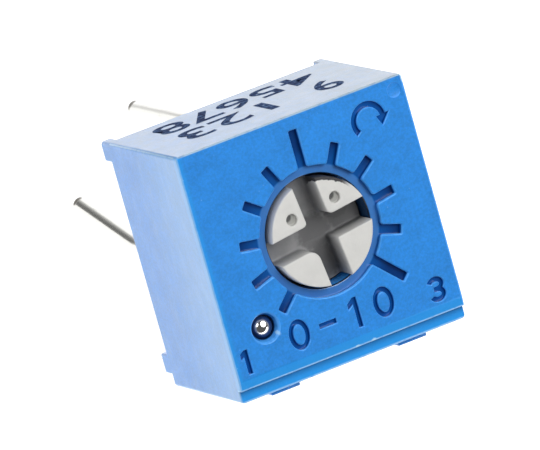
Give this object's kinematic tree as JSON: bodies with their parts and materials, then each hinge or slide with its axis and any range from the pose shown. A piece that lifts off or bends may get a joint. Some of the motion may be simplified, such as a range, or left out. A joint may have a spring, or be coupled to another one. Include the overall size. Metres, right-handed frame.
{
  "type": "trimmer potentiometer",
  "caption": "Square sealed trimmer potentiometer with a marked dial face, a cross-slotted rotor that turns a wiper over a horseshoe element, and round leads for a board.",
  "frame": {"origin": "on the seating plane, the tips of the four feet, midway between leads 1 and 3", "axes": "+Z out of the dial face along the rotor's axis, +Y up the face towards the middle mark, X to the right of the face"},
  "size_m": [0.0066, 0.0069, 0.01],
  "materials": {
    "body_plastic": "fine matte moulded thermoset",
    "rotor_plastic": "smooth pale moulded plastic",
    "seal_rubber": "black rubber ring",
    "spring_metal": "thin spring sheet",
    "plate_ceramic": "unglazed white ceramic",
    "track_film": "fired dark resistive film",
    "conductor_film": "fired metal film",
    "lead_tin": "bright tinned wire",
    "solder": "solder",
    "resin": "cured resin",
    "ball_steel": "polished steel ball"
  },
  "bodies": {
    "case": {"housing": "body_plastic", "substrate": "plate_ceramic", "resistor_track": "track_film", "end_pad_1": "conductor_film", "end_pad_3": "conductor_film", "collector": "conductor_film", "lead_1": "lead_tin", "lead_2": "lead_tin", "lead_3": "lead_tin", "solder_1": "solder", "solder_2": "solder", "solder_3": "solder", "potting": "resin", "vent_ball": "ball_steel"},
    "rotor": {"rotor": "rotor_plastic", "seal_ring": "seal_rubber", "wiper": "spring_metal"}
  },
  "joints": [
    {"name": "rotor_turn", "type": "hinge", "parent": "case", "child": "rotor", "pos_m": [0, 0.00013, 0.00463], "axis": [0, 0, 1], "range_deg": [-142, 128]}
  ]
}
